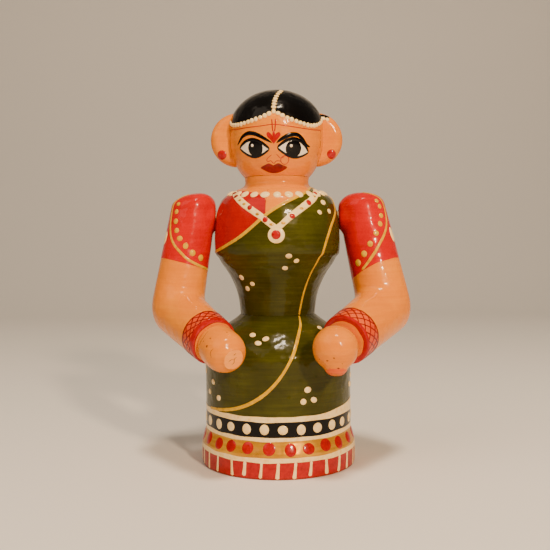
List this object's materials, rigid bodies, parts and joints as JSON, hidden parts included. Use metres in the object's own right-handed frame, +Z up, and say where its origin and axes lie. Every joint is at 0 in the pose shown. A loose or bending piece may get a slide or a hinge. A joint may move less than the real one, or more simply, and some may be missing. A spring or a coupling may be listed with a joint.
{
  "type": "painted wooden doll",
  "caption": "Painted turned-wood figure in a draped sari, with a head that turns on a dowel and bent arms that swing on shoulder pegs.",
  "frame": {"origin": "centre of the flat underside of the foot", "axes": "+Z up along the lathe axis of the body; the doll faces -Y; its left arm is at +X"},
  "size_m": [0.1025, 0.0746, 0.1473],
  "materials": {
    "sari_green": "olive green lacquer, gloss, over turned wood",
    "sleeve_red": "red lacquer, gloss, over turned wood",
    "skin": "pale orange lacquer, gloss, over turned wood",
    "hair_black": "black lacquer, gloss",
    "cream_paint": "raised cream paint under clear lacquer",
    "yellow_paint": "yellow and gold paint under clear lacquer",
    "bare_wood": "bare turned softwood"
  },
  "bodies": {
    "doll_body": {"skirt": "sari_green", "waist_dowel": "bare_wood", "torso": "sari_green", "neck_dowel": "bare_wood", "shoulder_peg_left": "bare_wood", "shoulder_peg_right": "bare_wood"},
    "head": {"head": "skin", "ear_left": "skin", "ear_right": "skin", "ear_peg_left": "bare_wood", "ear_peg_right": "bare_wood"},
    "arm_left": {"upper_arm_left": "sleeve_red", "elbow_dowel_left": "bare_wood", "forearm_left": "skin", "hand_dowel_left": "bare_wood", "hand_left": "skin"},
    "arm_right": {"upper_arm_right": "sleeve_red", "elbow_dowel_right": "bare_wood", "forearm_right": "skin", "hand_dowel_right": "bare_wood", "hand_right": "skin"}
  },
  "joints": [
    {"name": "head_turn", "type": "hinge", "parent": "doll_body", "child": "head", "pos_m": [0, 0, 0.11285], "axis": [0, 0, 1], "continuous": true},
    {"name": "shoulder_left", "type": "hinge", "parent": "doll_body", "child": "arm_left", "pos_m": [0.0254, 0, 0.09695], "axis": [-1, 0, 0], "range_deg": [0, 120]},
    {"name": "shoulder_right", "type": "hinge", "parent": "doll_body", "child": "arm_right", "pos_m": [-0.0251, 0, 0.09695], "axis": [-1, 0, 0], "range_deg": [0, 120]}
  ]
}
